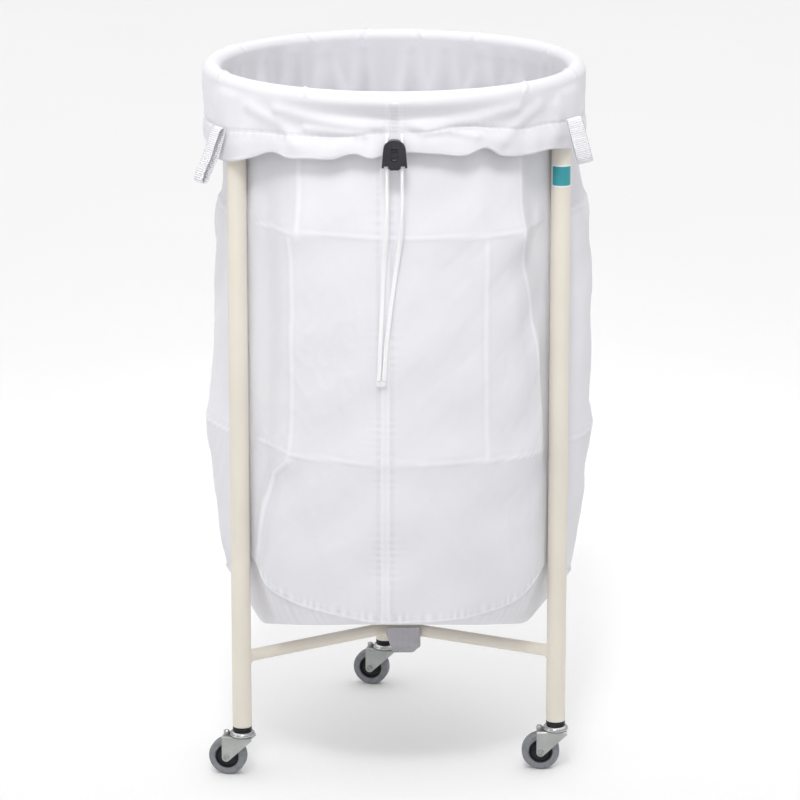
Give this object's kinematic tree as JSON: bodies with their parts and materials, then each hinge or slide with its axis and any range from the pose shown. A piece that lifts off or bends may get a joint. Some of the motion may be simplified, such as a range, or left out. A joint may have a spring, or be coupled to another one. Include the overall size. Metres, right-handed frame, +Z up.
{
  "type": "linen trolley",
  "caption": "Round-hoop linen trolley: castored tube legs, a star brace at the foot and a drawcord laundry bag folded over the hoop.",
  "frame": {"origin": "on the floor, under the middle of the hoop and of the circle on which the legs stand", "axes": "+Z up; -Y is the front, where the cord lock hangs; +X is to the right when the trolley is seen from the front"},
  "size_m": [0.5309, 0.5132, 0.9357],
  "materials": {
    "frame_paint": "cream powder coat, semi-gloss",
    "castor_plastic": "satin black",
    "castor_zinc": "bright zinc plate",
    "castor_chrome": "polished",
    "wheel_hub": "satin black",
    "wheel_tyre": "matte grey",
    "bag_cloth": "plain white weave",
    "cord_braid": "white herringbone braid",
    "lock_plastic": "black",
    "webbing": "ribbed white webbing",
    "label_film": "plain teal film with a white border"
  },
  "bodies": {
    "trolley": {"hoop": "frame_paint", "leg_back": "frame_paint", "leg_left": "frame_paint", "leg_right": "frame_paint", "strut_back": "frame_paint", "strut_left": "frame_paint", "strut_right": "frame_paint", "castor_socket_back": "castor_plastic", "castor_stem_back": "castor_zinc", "castor_race_back": "castor_chrome", "castor_ball_ring_back": "castor_chrome", "castor_socket_left": "castor_plastic", "castor_stem_left": "castor_zinc", "castor_race_left": "castor_chrome", "castor_ball_ring_left": "castor_chrome", "castor_socket_right": "castor_plastic", "castor_stem_right": "castor_zinc", "castor_race_right": "castor_chrome", "castor_ball_ring_right": "castor_chrome", "linen_bag": "bag_cloth", "drawcord_in_hem": "cord_braid", "drawcord_left_strand": "cord_braid", "drawcord_right_strand": "cord_braid", "drawcord_end_seal": "cord_braid", "side_loop_left": "webbing", "side_loop_right": "webbing", "base_handle_tab": "webbing", "leg_label": "label_film"},
    "swivel_back": {"castor_fork_back": "castor_zinc", "castor_axle_back": "castor_zinc"},
    "wheel_back": {"wheel_hub_back": "wheel_hub", "wheel_tyre_back": "wheel_tyre"},
    "swivel_left": {"castor_fork_left": "castor_zinc", "castor_axle_left": "castor_zinc"},
    "wheel_left": {"wheel_hub_left": "wheel_hub", "wheel_tyre_left": "wheel_tyre"},
    "swivel_right": {"castor_fork_right": "castor_zinc", "castor_axle_right": "castor_zinc"},
    "wheel_right": {"wheel_hub_right": "wheel_hub", "wheel_tyre_right": "wheel_tyre"},
    "cord_lock": {"cord_lock_body": "lock_plastic"},
    "lock_roller": {"cord_lock_roller": "lock_plastic"}
  },
  "joints": [
    {"name": "castor_swivel_back", "type": "hinge", "parent": "trolley", "child": "swivel_back", "pos_m": [0, 0.24, 0.053], "axis": [0, 0, 1], "continuous": true},
    {"name": "wheel_spin_back", "type": "hinge", "parent": "swivel_back", "child": "wheel_back", "pos_m": [-0.01865, 0.2457, 0.025], "axis": [-0.2924, -0.9563, 0], "continuous": true},
    {"name": "castor_swivel_left", "type": "hinge", "parent": "trolley", "child": "swivel_left", "pos_m": [-0.20785, -0.12, 0.053], "axis": [0, 0, 1], "continuous": true},
    {"name": "wheel_spin_left", "type": "hinge", "parent": "swivel_left", "child": "wheel_left", "pos_m": [-0.22668, -0.11495, 0.025], "axis": [-0.2588, -0.9659, 0], "continuous": true},
    {"name": "castor_swivel_right", "type": "hinge", "parent": "trolley", "child": "swivel_right", "pos_m": [0.20785, -0.12, 0.053], "axis": [0, 0, 1], "continuous": true},
    {"name": "wheel_spin_right", "type": "hinge", "parent": "swivel_right", "child": "wheel_right", "pos_m": [0.18839, -0.11864, 0.025], "axis": [-0.0698, -0.9976, 0], "continuous": true},
    {"name": "cord_lock_slide", "type": "slide", "parent": "trolley", "child": "cord_lock", "axis": [0, 0, -1], "range_m": [0, 0.06]},
    {"name": "lock_roller_slide", "type": "slide", "parent": "cord_lock", "child": "lock_roller", "axis": [0, 0, 1], "range_m": [-0.004, 0.006]}
  ]
}
